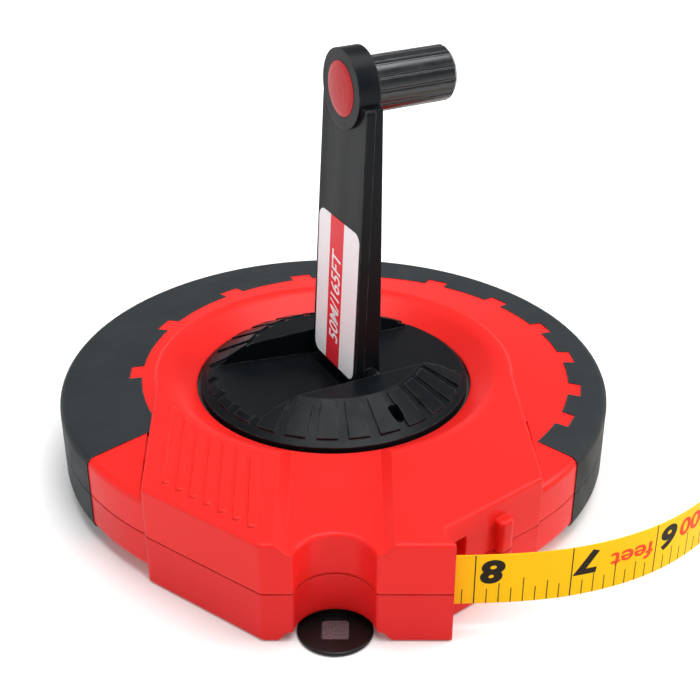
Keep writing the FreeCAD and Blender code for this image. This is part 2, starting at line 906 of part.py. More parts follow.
def slab(name, points, width):
    """A side profile of the arm, widened both ways."""
    body = new_body(name, turned=True)
    sketch = new_sketch(body, "XZ_Plane")
    outline(sketch, points)
    pad(body, sketch, width, both_ways=True)
    return body


def along_knob(name, points):
    """A solid of revolution about the knob's axis, from (distance along it, radius) corners."""
    body = new_body(name, turned=True)
    sketch = new_sketch(body, "XZ_Plane", (0, KNOB_AXIS, 0))
    outline(sketch, points)
    spin(body, sketch, axis="H_Axis")
    return body


def arm_front(low, high):
    """The arm's skin as seen from its outer face: a little narrower towards the knob."""
    body = new_body("arm_front_body", turned=True)
    sketch = new_sketch(body, "YZ_Plane")
    wide = size("arm_width") / 2
    narrow = size("arm_end_width") / 2
    outline(sketch, [(-wide, low), (wide, low), (narrow, high), (-narrow, high)])
    last = pad(body, sketch, 20.0)
    rounded("arm_shoulders", last, 1.6, lambda box: box.ZMin > high - 3 and box.ZLength < 0.01)
    return body


def crank_arm():
    top = 113.2
    back = size("arm_back")
    foot = cross_pin("foot", size("foot_radius"), size("arm_body_width"))
    slab_box = slab("foot_limits", [(0, 24.0), (back, 24.0), (back, 40.0), (0, 40.0)], 30.0)
    side = [(0, size("hinge_z")), (back, size("hinge_z")), (back, top), (face_x(top), top)]
    body = slab("arm_body", side, size("arm_body_width"))
    low = 30.4
    leaning = slab(
        "arm_skin_side",
        [
            (face_x(low), low),
            (face_x(low, SIZES["arm_flange"]), low),
            (face_x(top, SIZES["arm_flange"]), top),
            (face_x(top), top),
        ],
        40.0,
    )
    skin = common("arm_skin", leaning, arm_front(low, top))
    radius = size("head_radius")
    head = along_knob("arm_head", [(2.7, 0), (2.7, radius), (back, radius), (back, 0)])
    radius = size("cap_radius") + 0.1
    recess = along_knob("cap_recess", [(0, 0), (0, radius), (4.4, radius), (4.4, 0)])
    stud = size("stud_radius")
    bore = [(0, 0), (0, 4.1), (5.8, 4.1), (5.8, stud), (12.0, stud), (12.0, 0)]
    stud_hole = along_knob("stud_hole", bore)
    pin_hole = cross_pin("arm_pin_hole", size("hinge_pin") + 0.05, 30.0)
    whole = fuse("arm_blank", body, skin, head, common("foot_round", foot, slab_box))
    node("crank_arm", cut("arm_cut", whole, recess, stud_hole, pin_hole))
    node(
        "knob_cap",
        along_knob(
            "knob_cap_body",
            [
                (4.35, 0),
                (4.35, size("cap_radius")),
                (2.6, size("cap_radius")),
                (2.25, size("cap_radius") * 0.8),
                (2.0, size("cap_radius") * 0.45),
                (1.9, 0),
            ],
        ),
    )


def arm_label():
    """The thin sticker on the arm's outer face, in the plane of that face."""
    low = 31.2
    high = 77.5
    thin = 0.15
    body = new_body("label", turned=True)
    sketch = new_sketch(body, "XZ_Plane")
    outline(
        sketch,
        [
            (face_x(low, -thin), low),
            (face_x(low), low),
            (face_x(high), high),
            (face_x(high, -thin), high),
        ],
    )
    last = pad(body, sketch, 25.6, both_ways=True)
    corner = lambda box: max(box.XLength, box.YLength, box.ZLength) < 0.2
    rounded("label_corners", last, 3.0, corner)
    node("arm_label", body)


def crank_knob():
    start = SIZES["arm_back"] + 0.4
    end = SIZES["arm_back"] + SIZES["knob_length"]
    edge = 1.1
    radius = size("knob_radius")
    bore = size("stud_radius") + 0.05
    body = along_knob(
        "knob_body",
        [
            (start, bore),
            (start, radius - 0.3),
            (start + 0.3, radius),
            (end - edge, radius),
            (end, radius - edge),
            (end, 4.2),
            (end - 2.4, 4.2),
            (end - 2.4, bore),
        ],
    )
    flutes = []
    for index in range(12):
        groove = doc.addObject("Part::Cylinder", "flute_%d" % index)
        groove.Radius = 0.7
        groove.Height = end - start - 1.6
        angle = math.radians(30 * index)
        reach = SIZES["knob_radius"] + 0.15
        local = Vector(start + 0.8, reach * math.cos(angle), KNOB_AXIS.value + reach * math.sin(angle))
        turn = Rotation(Vector(0, 0, 1), SIZES["crank_azimuth"])
        groove.Placement = Placement(turn.multVec(local), turn.multiply(Rotation(Vector(0, 1, 0), 90)))
        flutes.append(groove)
    node("crank_knob", cut("knob_cut", body, *flutes))
    stud = size("stud_radius")
    node(
        "knob_stud",
        along_knob(
            "knob_stud_body",
            [(4.5, 0), (4.5, 4.0), (5.8, 4.0), (5.8, stud), (end - 2.2, stud), (end - 2.2, 0)],
        ),
    )
    washer = [(end - 2.1, 0.9), (end - 2.1, 3.9), (end - 1.5, 3.9), (end - 1.5, 0.9)]
    node("knob_washer", along_knob("knob_washer_body", washer))
    screw = [(end - 1.5, 0), (end - 1.5, 2.6), (end - 0.4, 2.2), (end - 0.4, 0)]
    node("knob_screw", along_knob("knob_screw_body", screw))


# ---------------------------------------------------------------- tape blade and end fitting

# Centre line of the free blade in plan, from the mouth to the end clip.
BLADE_ROUTE = [
    (31.2, -84.0),
    (48.0, -83.7),
    (69.0, -79.5),
    (89.5, -69.5),
    (107.0, -52.5),
    (121.5, -31.0),
    (132.0, -7.5),
    (139.5, 17.0),
    (143.0, 40.5),
    (143.0, 62.0),
]


def band(label, route, radii, thickness, bottom, height):
    """A strip on edge along a plan route whose corners are rounded by tangent arcs."""
    half = thickness / 2
    sides = {half: [], -half: []}
    for side, edges in sides.items():
        start = None
        for i in range(1, len(route)):
            a = Vector(*route[i - 1], 0)
            b = Vector(*route[i], 0)
            run = (b - a).normalize()
            out = Vector(-run.y, run.x, 0) * side
            if start is None:
                start = a + out
            if i == len(route) - 1:
                edges.append(Part.LineSegment(start, b + out).toShape())
                continue
            following = (Vector(*route[i + 1], 0) - b).normalize()
            turn = run.getAngle(following)
            radius = radii[i - 1]
            left = run.cross(following).z > 0
            reach = radius * math.tan(turn / 2)
            enter = b - run * reach + out
            leave_out = Vector(-following.y, following.x, 0) * side
            leave = b + following * reach + leave_out
            centre = b - run * reach + Vector(-run.y, run.x, 0) * (radius if left else -radius)
            middle_way = (enter - centre).normalize() + (leave - centre).normalize()
            own = (enter - centre).Length
            middle = centre + middle_way.normalize() * own
            edges.append(Part.LineSegment(start, enter).toShape())
            edges.append(Part.Arc(enter, middle, leave).toShape())
            start = leave
    left_side = sides[half]
    right_side = sides[-half]
    first = Part.LineSegment(end_of(right_side[0], 0), end_of(left_side[0], 0)).toShape()
    last = Part.LineSegment(end_of(left_side[-1], -1), end_of(right_side[-1], -1)).toShape()
    wire = Part.Wire(Part.__sortEdges__(left_side + right_side + [first, last]))
    made = doc.addObject("Part::Feature", label + "_shape")
    solid = Part.Face(wire).extrude(Vector(0, 0, height))
    solid.translate(Vector(0, 0, bottom))
    made.Shape = solid
    node(label, made)
    return made


def end_of(edge, which):
    return edge.Vertexes[which].Point


def tangent_radii(route):
    """Each corner's arc is as large as its two runs allow."""
    radii = []
    for i in range(1, len(route) - 1):
        a, b, c = [Vector(*p, 0) for p in route[i - 1 : i + 2]]
        turn = (b - a).getAngle(c - b)
        radii.append(0.45 * min((b - a).Length, (c - b).Length) / math.tan(turn / 2))
    return radii


def tape():
    thickness = SIZES["tape_thickness"]
    width = SIZES["tape_width"]
    bottom = PARTING.value - width / 2
    radii = tangent_radii(BLADE_ROUTE)
    band("tape_blade", BLADE_ROUTE, radii, thickness, bottom, width)
    # Inside: off the coil's left front, round the guide post, out of the mouth.
    wrap = SIZES["post_radius"] + 0.1 + thickness / 2
    coil = SIZES["coil_radius"] + 0.2 + thickness / 2
    post = Vector(SIZES["post_x"], SIZES["post_y"], 0)
    toward = math.atan2(post.y, post.x) - math.acos((coil - wrap) / post.Length)
    leave = (coil * math.cos(toward), coil * math.sin(toward))
    mouth = BLADE_ROUTE[0]
    slope = toward + math.pi / 2
    level = mouth[1]
    corner_x = leave[0] + (level - leave[1]) / math.tan(slope)
    band("tape_lead", [leave, (corner_x, level), mouth], [wrap], thickness, bottom, width)


def block_at(name, low, high):
    """A rectangular block between two corners."""
    made = doc.addObject("Part::Box", name)
    made.Length = high[0] - low[0]
    made.Width = high[1] - low[1]
    made.Height = high[2] - low[2]
    made.Placement.Base = Vector(*low)
    return made


def end_fitting():
    """Clip, pin, ring and folding claw at the tape's zero end."""
    x = SIZES["end_x"]
    y = SIZES["end_y"]
    pin_y = SIZES["end_pin_y"]
    low = PARTING.value - 8.1
    high = PARTING.value + 8.1
    centre = PARTING.value
    clip = block_at("clip_cheeks", (x - 1.4, y - 6, low), (x + 1.4, pin_y, high))
    slot = block_at("clip_slot", (x - 0.21, y - 7, low - 1), (x + 0.21, y + 0.05, high + 1))
    barrel = posts("clip_barrel", [(x, pin_y)], 2.2, low, high - low)
    gap = block_at("clip_gap", (x - 3, pin_y - 2.6, centre - 4.0), (x + 3, pin_y + 3, centre + 4.0))
    bore = posts("clip_bore", [(x, pin_y)], size("end_pin") + 0.03, low - 1, high - low + 2)
    rivets = []
    rivet_holes = []
    for index, height in enumerate((centre - 4.5, centre + 4.5)):
        kinds = (("rivet", 1.2, 3.6, rivets), ("rivet_hole", 1.25, 8.0, rivet_holes))
        for kind, radius, length, made in kinds:
            peg = doc.addObject("Part::Cylinder", "%s_%d" % (kind, index))
            peg.Radius = radius
            peg.Height = length
            peg.Placement = Placement(Vector(x - length / 2, y - 3, height), Rotation(Vector(0, 1, 0), 90))
            made.append(peg)
    node("end_clip", cut("clip_cut", fuse("clip_blank", clip, *barrel), slot, gap, *bore, *rivet_holes))
    node("end_clip_rivets", fuse("rivets", *rivets))
    blade = NODES.pop("tape_blade")
    node("tape_blade", cut("blade_cut", blade, *rivet_holes))
    pin = posts("end_pin_bar", [(x, pin_y)], size("end_pin"), low - 0.4, high - low + 0.8)
    node("end_pin", pin[0])

    ring = []
    for index, (bottom, top) in enumerate(((centre - 3.8, centre - 1.7), (centre + 1.7, centre + 3.8))):
        ring += posts("ring_knuckle_%d" % index, [(x, pin_y)], 2.0, bottom, top - bottom)
        ring.append(block_at("ring_stem_%d" % index, (x - 1.1, pin_y, bottom), (x + 1.1, pin_y + 4, top)))
    round_y = pin_y + 14.5
    outer = doc.addObject("Part::Cylinder", "loop_outer")
    inner = doc.addObject("Part::Cylinder", "loop_inner")
    for loop, radius, depth in ((outer, 11.0, 2.2), (inner, 8.6, 4.0)):
        loop.Radius = radius
        loop.Height = depth
        loop.Placement = Placement(Vector(x - depth / 2, round_y, centre), Rotation(Vector(0, 1, 0), 90))
    low_corner = (x - 1.1, pin_y + 2.7, centre - 11)
    outer_box = block_at("loop_outer_box", low_corner, (x + 1.1, round_y, centre + 11))
    low_corner = (x - 2, pin_y + 5.1, centre - 8.6)
    inner_box = block_at("loop_inner_box", low_corner, (x + 2, round_y, centre + 8.6))
    loop = cut("loop", fuse("loop_blank", outer, outer_box), inner, inner_box)
    claw_gap = block_at("claw_gap", (x - 4, pin_y - 3, centre - 1.7), (x + 4, pin_y + 8, centre + 1.7))
    node("end_ring", cut("ring_cut", fuse("ring_blank", loop, *ring), claw_gap, *bore))
    knuckle = posts("claw_knuckle", [(x, pin_y)], 2.0, centre - 1.4, 2.8)
    stem = block_at("claw_stem", (x - 0.8, pin_y, centre - 1.4), (x + 0.8, pin_y + 14, centre + 1.4))
    low_corner = (x - 0.8, pin_y + 12.4, centre - 1.4)
    tooth = block_at("claw_tooth", low_corner, (x + 3.6, pin_y + 14, centre + 1.4))
    node("end_claw", cut("claw_cut", fuse("claw_blank", *knuckle, stem, tooth), *bore))


case()
case_screws()
guide_post()
knob_rest()
drum()
crank_plate()
hinge()
crank_arm()
arm_label()
crank_knob()
tape()
end_fitting()
doc.recompute()

for thing in doc.Objects:
    if "Invalid" in thing.State or "Error" in thing.State:
        raise RuntimeError("%s is %s" % (thing.Label, thing.State))
for label, thing in NODES.items():
    if thing.Shape.isNull() or not thing.Shape.isValid():
        raise RuntimeError("%s has no valid shape" % label)

os.makedirs("parts", exist_ok=True)
for label, thing in NODES.items():
    thing.Shape.exportStep("parts/%s.step" % label)
    print("%-26s %8.2f cm3  %d solids" % (label, thing.Shape.Volume / 1000, len(thing.Shape.Solids)))
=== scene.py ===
import math

import bmesh
import bpy
from mathutils import Matrix, Vector


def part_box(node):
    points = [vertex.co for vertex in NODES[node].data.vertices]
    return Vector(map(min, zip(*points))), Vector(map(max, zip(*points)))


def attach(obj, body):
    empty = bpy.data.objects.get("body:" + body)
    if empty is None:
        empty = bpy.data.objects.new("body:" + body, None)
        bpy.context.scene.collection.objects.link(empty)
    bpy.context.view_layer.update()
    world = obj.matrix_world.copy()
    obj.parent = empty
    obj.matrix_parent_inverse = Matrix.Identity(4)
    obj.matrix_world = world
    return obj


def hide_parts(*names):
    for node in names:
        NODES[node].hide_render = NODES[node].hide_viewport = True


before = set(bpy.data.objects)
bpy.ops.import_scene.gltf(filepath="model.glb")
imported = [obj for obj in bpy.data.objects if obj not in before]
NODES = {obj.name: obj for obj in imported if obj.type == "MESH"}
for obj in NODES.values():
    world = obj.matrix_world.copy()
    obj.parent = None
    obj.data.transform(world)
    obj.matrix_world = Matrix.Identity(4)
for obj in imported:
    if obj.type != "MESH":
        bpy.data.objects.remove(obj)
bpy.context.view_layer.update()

# A closed-case measuring tape with a folding crank. Lengths are in metres; MM turns millimetres into them.
# The frame is the CAD model's: +Z up along the reel's axis, -Y towards the knob notch, tape out to +X.
MM = 0.001

# ------------------------------------------------------------------ materials


class Finish:
    """A Principled material whose colour, roughness and bump come from procedural textures."""

    def __init__(self, name, base, roughness, **sockets):
        self.material = bpy.data.materials.new(name)
        self.material.use_nodes = True
        self.tree = self.material.node_tree
        self.shader = self.tree.nodes["Principled BSDF"]
        self.base = base
        self.roughness = roughness
        self.colour = None
        self.shader.inputs["Base Color"].default_value = (*base, 1.0)
        self.shader.inputs["Roughness"].default_value = roughness
        for socket, value in sockets.items():
            self.shader.inputs[socket.replace("_", " ")].default_value = value
        self.coords = self.node("ShaderNodeTexCoord").outputs["Object"]
        self.material.diffuse_color = (*base, 1.0)
        self.normal = None

    def node(self, kind, **settings):
        made = self.tree.nodes.new(kind)
        for key, value in settings.items():
            setattr(made, key, value)
        return made

    def link(self, source, target):
        self.tree.links.new(source, target)

    def noise(self, scale, detail=3.0, stretch=(1, 1, 1)):
        mapping = self.node("ShaderNodeMapping")
        mapping.inputs["Scale"].default_value = stretch
        self.link(self.coords, mapping.inputs["Vector"])
        texture = self.node("ShaderNodeTexNoise")
        texture.inputs["Scale"].default_value = scale
        texture.inputs["Detail"].default_value = detail
        self.link(mapping.outputs["Vector"], texture.inputs["Vector"])
        return texture.outputs["Fac"]

    def spread(self, value, low, high, start=0.3, end=0.7):
        made = self.node("ShaderNodeMapRange")
        made.inputs["From Min"].default_value = start
        made.inputs["From Max"].default_value = end
        made.inputs["To Min"].default_value = low
        made.inputs["To Max"].default_value = high
        self.link(value, made.inputs["Value"])
        return made.outputs["Result"]

    def blend(self, amount, first, second):
        """Colour mixed between two; either may be a socket."""
        made = self.node("ShaderNodeMix", data_type="RGBA")
        self.link(amount, made.inputs["Factor"])
        for name, colour in (("A", first), ("B", second)):
            socket = [s for s in made.inputs if s.name == name and s.type == "RGBA"][0]
            if isinstance(colour, tuple):
                socket.default_value = (*colour, 1.0)
            else:
                self.link(colour, socket)
        return [s for s in made.outputs if s.type == "RGBA"][0]

    def paint(self, colour):
        self.colour = colour
        self.link(colour, self.shader.inputs["Base Color"])

    def mottle(self, scale, amount, detail=3.0, stretch=(1, 1, 1)):
        """Slow unevenness of colour."""
        dark = tuple(c * (1 - amount) for c in self.base)
        light = tuple(min(1.0, c * (1 + amount)) for c in self.base)
        self.paint(self.blend(self.spread(self.noise(scale, detail, stretch), 0.0, 1.0), dark, light))
        return self

    def sheen_swing(self, scale, amount, stretch=(1, 1, 1)):
        """Patches that are a little more matt or more glossy."""
        swing = self.noise(scale, 4.0, stretch)
        self.link(
            self.spread(swing, max(0.02, self.roughness - amount), self.roughness + amount),
            self.shader.inputs["Roughness"],
        )
        return self

    def bump(self, scale, depth, detail=2.0, stretch=(1, 1, 1)):
        """Fine relief, depth in metres, added to what is there."""
        made = self.node("ShaderNodeBump")
        made.inputs["Strength"].default_value = 1.0
        made.inputs["Distance"].default_value = depth
        self.link(self.noise(scale, detail, stretch), made.inputs["Height"])
        if self.normal is not None:
            self.link(self.normal, made.inputs["Normal"])
        self.normal = made.outputs["Normal"]
        self.link(self.normal, self.shader.inputs["Normal"])
        return self

    def soften(self, radius):
        """Round neighbouring facets and moulded edges in shading; bump adds to it."""
        bevel = self.node("ShaderNodeBevel", samples=6)
        bevel.inputs["Radius"].default_value = radius
        self.normal = bevel.outputs["Normal"]
        return self

    def edge_wear(self, radius, colour, amount):
        """Edges rubbed to another shade, found where a rounded normal leaves the true one."""
        bevel = self.node("ShaderNodeBevel", samples=4)
        bevel.inputs["Radius"].default_value = radius
        geometry = self.node("ShaderNodeNewGeometry")
        dot = self.node("ShaderNodeVectorMath", operation="DOT_PRODUCT")
        self.link(bevel.outputs["Normal"], dot.inputs[0])
        self.link(geometry.outputs["Normal"], dot.inputs[1])
        edge = self.spread(dot.outputs["Value"], amount, 0.0, 0.86, 0.99)
        scuff = self.spread(self.noise(260.0, 5.0), 0.0, 1.0, 0.35, 0.6)
        both = self.node("ShaderNodeMath", operation="MULTIPLY")
        self.link(edge, both.inputs[0])
        self.link(scuff, both.inputs[1])
        self.paint(self.blend(both.outputs["Value"], self.colour or self.base, colour))
        return self


def case_plastic(name, base):
    finish = Finish(name, base, 0.34, Specular_IOR_Level=0.16)
    finish.soften(0.0008)
    finish.mottle(22.0, 0.03)
    finish.sheen_swing(60.0, 0.05)
    finish.bump(2600.0, 0.000006)
    finish.edge_wear(0.0006, (0.95, 0.10, 0.07), 0.35)
    return finish.material


def rim_rubber():
    finish = Finish("rim_rubber", (0.019, 0.023, 0.026), 0.62, Specular_IOR_Level=0.2)
    finish.mottle(38.0, 0.16, 6.0)
    finish.sheen_swing(110.0, 0.08)
    finish.bump(3800.0, 0.000016)
    finish.bump(160.0, 0.00003, 4.0)
    finish.edge_wear(0.0007, (0.10, 0.11, 0.12), 0.5)
    return finish.material


def crank_plastic(name, shine, roughness, stretch=(1, 1, 1)):
    finish = Finish(name, (0.0045, 0.006, 0.0075), roughness, Specular_IOR_Level=shine)
    finish.soften(0.0004)
    finish.mottle(30.0, 0.2, 5.0)
    finish.sheen_swing(140.0, 0.09, stretch)
    finish.bump(3400.0, 0.000010)
    finish.edge_wear(0.0005, (0.09, 0.095, 0.10), 0.6)
    return finish.material


def rest_plastic():
    finish = Finish("rest_plastic", (0.006, 0.006, 0.006), 0.34, Specular_IOR_Level=0.25)
    finish.sheen_swing(120.0, 0.08)
    finish.bump(2400.0, 0.000006)
    finish.edge_wear(0.0005, (0.06, 0.06, 0.06), 0.5)
    return finish.material


def cap_plastic():
    finish = Finish("cap_plastic", (0.44, 0.010, 0.014), 0.36, Specular_IOR_Level=0.16)
    finish.mottle(90.0, 0.08)
    finish.sheen_swing(260.0, 0.08)
    finish.bump(2800.0, 0.000008)
    return finish.material


def tape_coating():
    finish = Finish("tape_coating", (0.93, 0.52, 0.002), 0.36, Specular_IOR_Level=0.08)
    finish.mottle(60.0, 0.04, 4.0, (1, 1, 0.4))
    finish.sheen_swing(180.0, 0.07)
    finish.bump(5200.0, 0.000006, 2.0, (1, 1, 0.15))
    return finish.material


def coil_edges():
    finish = Finish("coil_edges", (0.80, 0.52, 0.02), 0.5)
    finish.mottle(700.0, 0.25, 5.0)
    finish.sheen_swing(200.0, 0.1)
    finish.bump(2400.0, 0.00004, 4.0)
    return finish.material


def ink(name, base):
    finish = Finish(name, base, 0.42, Specular_IOR_Level=0.08)
    finish.mottle(1500.0, 0.25, 6.0)
    finish.sheen_swing(900.0, 0.1)
    return finish.material


def label_film(name, base):
    finish = Finish(name, base, 0.34, Specular_IOR_Level=0.12)
    finish.mottle(120.0, 0.006)
    finish.sheen_swing(200.0, 0.03)
    finish.bump(900.0, 0.000004)
    return finish.material


def metal(name, base, roughness, stretch=(1, 1, 1)):
    finish = Finish(name, base, roughness, Metallic=1.0)
    finish.mottle(160.0, 0.08, 5.0)
    finish.sheen_swing(420.0, min(0.1, roughness * 0.5), stretch)
    finish.bump(1800.0, 0.000005, 3.0, stretch)
    return finish.material


def inner_plastic():
    finish = Finish("inner_plastic", (0.028, 0.028, 0.03), 0.5)
    finish.mottle(80.0, 0.15)
    finish.sheen_swing(180.0, 0.08)
    finish.bump(1600.0, 0.00001)
    return finish.material


def felt():
    # The sheet's mauve-grey colour is the floor in shade, as seen in the knob rest's slot: painted shade.
    finish = Finish("slot_shade", (0.12, 0.085, 0.09), 0.9, Specular_IOR_Level=0.1)
    finish.mottle(1400.0, 0.3, 6.0)
    finish.sheen_swing(900.0, 0.05)
    finish.bump(3000.0, 0.00004, 5.0)
    return finish.material


def washer_fibre():
    finish = Finish("washer_fibre", (0.05, 0.04, 0.032), 0.8)
    finish.mottle(900.0, 0.3, 6.0)
    finish.sheen_swing(800.0, 0.08)
    finish.bump(1500.0, 0.00004, 6.0)
    return finish.material


RED = case_plastic("case_plastic", (0.78, 0.017, 0.014))
# The lower half is the upper half's red plastic made darker: painted shade.
RED_SHADED_LOWER = case_plastic("case_plastic_lower_shaded", (0.70, 0.015, 0.014))
RUBBER = rim_rubber()
CRANK = crank_plastic("crank_plastic", 0.11, 0.36)
ARM = crank_plastic("arm_plastic", 0.10, 0.36, (1, 1, 0.1))
KNOB = crank_plastic("knob_plastic", 0.6, 0.22)
REST = rest_plastic()
CAP = cap_plastic()
TAPE = tape_coating()
COIL = coil_edges()
BLACK_INK = ink("black_ink", (0.018, 0.013, 0.008))
RED_INK = ink("red_ink", (0.85, 0.06, 0.012))
WHITE_FILM = label_film("label_white", (0.92, 0.93, 0.96))
RED_FILM = label_film("label_red", (0.80, 0.03, 0.045))
STEEL = metal("turned_steel", (0.60, 0.60, 0.60), 0.24)
SCREW = metal("screw_steel", (0.20, 0.20, 0.21), 0.34)
PLATED = metal("plated_steel", (0.46, 0.45, 0.43), 0.26)
BRASS = metal("rivet_brass", (0.72, 0.52, 0.22), 0.28)
INNER = inner_plastic()
FIBRE = washer_fibre()
SLOT_SHADE = felt()

CAD_FINISHES = {
    "upper_shell": RED,
    "lower_shell": RED_SHADED_LOWER,
    "rim_grip_upper": RUBBER,
    "rim_grip_lower": RUBBER,
    "case_screws": SCREW,
    "mouth_guide_post": STEEL,
    "knob_rest": REST,
    "knob_rest_screw": SCREW,
    "hub_spindle": INNER,
    "drag_washer": FIBRE,
    "spindle_washer": STEEL,
    "spindle_screw": SCREW,
    "tape_lead": TAPE,
    "tape_coil": COIL,
    "drum_core": INNER,
    "drum_flange": INNER,
    "crank_plate": CRANK,
    "crank_plate_screws": SCREW,
    "hinge_pin": SCREW,
    "hinge_bushes": CRANK,
    "hinge_friction_washers": FIBRE,
    "crank_arm": ARM,
    "knob_cap": CAP,
    "knob_stud": STEEL,
    "knob_washer": STEEL,
    "knob_screw": SCREW,
    "crank_knob": KNOB,
    "end_clip": PLATED,
    "end_clip_rivets": BRASS,
    "end_pin": STEEL,
    "end_ring": PLATED,
    "end_claw": PLATED,
}


def finish_cad_nodes():
    """Give every CAD node that stays visible its finish."""
    for name, material in CAD_FINISHES.items():
        for slot in NODES[name].material_slots:
            slot.material = material


# ------------------------------------------------------------------ mesh helpers

# A capital's height as a share of the font's size, a letter's widest flat strip, and the print's thickness.
CAPITAL_SHARE = 0.73
STRIP = 0.8 * MM
PRINT_THICKNESS = 0.02 * MM


def piece_from(name, bm, materials, body):
    """A mesh object from a bmesh, riding on a body."""
    mesh = bpy.data.meshes.new(name)
    bmesh.ops.recalc_face_normals(bm, faces=bm.faces)
    bm.to_mesh(mesh)
    bm.free()
    made = bpy.data.objects.new(name, mesh)
    for material in materials:
        mesh.materials.append(material)
    bpy.context.scene.collection.objects.link(made)
    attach(made, body)
    return made


def shade_smooth(thing, degrees):
    """Smooth shading, broken where faces meet at more than an angle."""
    for polygon in thing.data.polygons:
        polygon.use_smooth = True
    thing.data.set_sharp_from_angle(angle=math.radians(degrees))


def letters(text, height, shear=0.0, bold=0.0, widen=1.0):
    """A word as a thin mesh in its own plane, cut into narrow strips so that it can bend."""
    curve = bpy.data.curves.new("letters", "FONT")
    curve.body = text
    curve.size = height / CAPITAL_SHARE
    curve.shear = shear
    curve.offset = bold
    curve.extrude = PRINT_THICKNESS / 2
    curve.align_x = "CENTER"
    curve.resolution_u = 6
    holder = bpy.data.objects.new("letters", curve)
    bpy.context.scene.collection.objects.link(holder)
    bpy.context.view_layer.update()
    depsgraph = bpy.context.evaluated_depsgraph_get()
    mesh = bpy.data.meshes.new_from_object(holder.evaluated_get(depsgraph))
    bm = bmesh.new()
    bm.from_mesh(mesh)
    bpy.data.objects.remove(holder)
    bpy.data.curves.remove(curve)
    bpy.data.meshes.remove(mesh)
    bmesh.ops.remove_doubles(bm, verts=bm.verts, dist=0.0005 * MM)
    bmesh.ops.scale(bm, vec=(widen, 1.0, 1.0), verts=bm.verts)
    low = min(v.co.x for v in bm.verts)
    high = max(v.co.x for v in bm.verts)
    for index in range(1, int((high - low) / STRIP) + 1):
        cut_across(bm, low + index * STRIP)
    return bm


def cut_across(bm, x):
    """New edges where the plane at x crosses the mesh."""
    geometry = [*bm.verts, *bm.edges, *bm.faces]
    bmesh.ops.bisect_plane(bm, geom=geometry, plane_co=(x, 0, 0), plane_no=(1, 0, 0))


def bar(width, height):
    """A thin upright stroke centred on its own origin."""
    bm = bmesh.new()
    size = Matrix.Diagonal((width, height, PRINT_THICKNESS, 1.0))
    bmesh.ops.create_cube(bm, size=1.0, matrix=size)
    return bm


def rounded_sheet(low, high, radius, thin):
    """A flat plate with rounded corners, standing on its own plane."""
    corners = [(high[0] - radius, high[1] - radius, 0), (low[0] + radius, high[1] - radius, 90)]
    corners += [(low[0] + radius, low[1] + radius, 180), (high[0] - radius, low[1] + radius, 270)]
    steps = 8
    rim = []
    for x, y, start in corners:
        for step in range(steps + 1):
            angle = math.radians(start + 90 * step / steps)
            rim.append((x + radius * math.cos(angle), y + radius * math.sin(angle)))
    bm = bmesh.new()
    back = [bm.verts.new((x, y, 0.0)) for x, y in rim]
    front = [bm.verts.new((x, y, thin)) for x, y in rim]
    bm.faces.new(back)
    bm.faces.new(front)
    for k in range(len(rim)):
        after = (k + 1) % len(rim)
        bm.faces.new([back[k], back[after], front[after], front[k]])
    return bm


def add_mapped(target, source, place):
    """Copy a flat drawing into another mesh through a function of its three coordinates."""
    made = {v: target.verts.new(place(v.co)) for v in source.verts}
    for face in source.faces:
        target.faces.new([made[v] for v in face.verts])
    source.free()


# ------------------------------------------------------------------ tape blade

TAPE_LOW, TAPE_HIGH = (corner.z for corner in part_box("tape_blade"))
TAPE_MIDDLE = (TAPE_LOW + TAPE_HIGH) / 2
TAPE_WIDTH = TAPE_HIGH - TAPE_LOW
TAPE_THICKNESS = 0.3 * MM
BLADE_STEPS = 150
BLADE_EDGE = 0.10 * MM
INCH = 25.4 * MM
# Distances along the blade from the mouth: the 8 inch line, and the zero of both scales.
EIGHT_INCH_MARK = 5.6 * MM
ZERO_MARK = EIGHT_INCH_MARK + 8 * INCH
# Print keeps this far from the mouth and from the free end, where the clip covers the blade.
MOUTH_MARGIN = 0.8 * MM
CLIP_MARGIN = 7 * MM
# Print stands this far off the surface it lies on, and this far in from the blade's edge.
INK_LIFT = 0.012 * MM
EDGE_MARGIN = 0.1 * MM
# The blade's two faces, as the side of the line that they are on.
OUTER = 1
INNER = -1
# Plan points in millimetres from the mouth to the free end, as in the CAD model.
BLADE_ROUTE = [
    (31.2, -84.0),
    (48.0, -83.7),
    (69.0, -79.5),
    (89.5, -69.5),
    (107.0, -52.5),
    (121.5, -31.0),
    (132.0, -7.5),
    (139.5, 17.0),
    (143.0, 40.5),
    (143.0, 62.0),
]


def blade_line():
    """Points along the smooth line that the blade follows."""
    curve = bpy.data.curves.new("blade_line", "CURVE")
    curve.dimensions = "3D"
    curve.resolution_u = 24
    spline = curve.splines.new("NURBS")
    spline.points.add(len(BLADE_ROUTE) - 1)
    for point, (x, y) in zip(spline.points, BLADE_ROUTE):
        point.co = (x * MM, y * MM, TAPE_MIDDLE, 1.0)
    spline.order_u = 3
    spline.use_endpoint_u = True
    holder = bpy.data.objects.new("blade_line", curve)
    bpy.context.scene.collection.objects.link(holder)
    bpy.context.view_layer.update()
    mesh = bpy.data.meshes.new_from_object(holder.evaluated_get(bpy.context.evaluated_depsgraph_get()))
    points = [v.co.copy() for v in mesh.vertices]
    bpy.data.meshes.remove(mesh)
    bpy.data.objects.remove(holder)
    bpy.data.curves.remove(curve)
    return points


